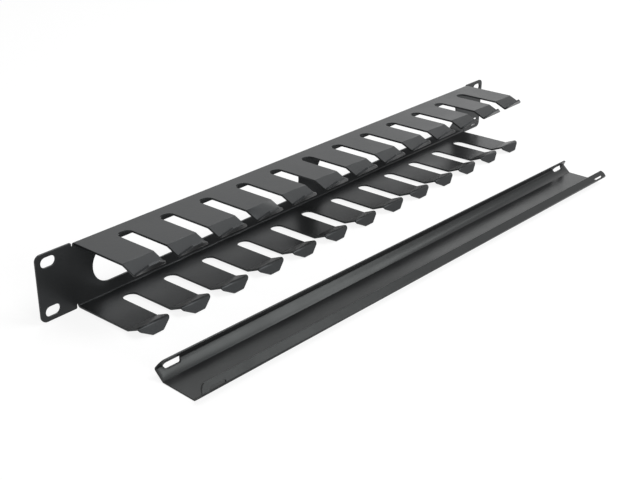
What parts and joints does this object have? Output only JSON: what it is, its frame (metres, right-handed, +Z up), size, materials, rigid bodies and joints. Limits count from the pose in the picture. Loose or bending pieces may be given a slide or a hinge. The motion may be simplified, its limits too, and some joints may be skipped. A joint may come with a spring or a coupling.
{
  "type": "rack cable management panel",
  "caption": "Rack-mount cable management panel: folded steel channel with bent fingers above and below, cable windows in the back, and a snap-in front cover lying in front.",
  "frame": {"origin": "centre of the four mounting slots, on the rear face of the ears and back plate", "axes": "+X along the width, to the right end as seen from the front; +Y out of the rear face, towards the rack; +Z up"},
  "size_m": [0.4826, 0.1515, 0.0456],
  "materials": {
    "powder_coated_panel": "satin black powder coat",
    "powder_coated_cover": "satin black powder coat"
  },
  "bodies": {
    "root": {"finger_panel": "powder_coated_panel", "front_cover": "powder_coated_cover"}
  },
  "joints": []
}
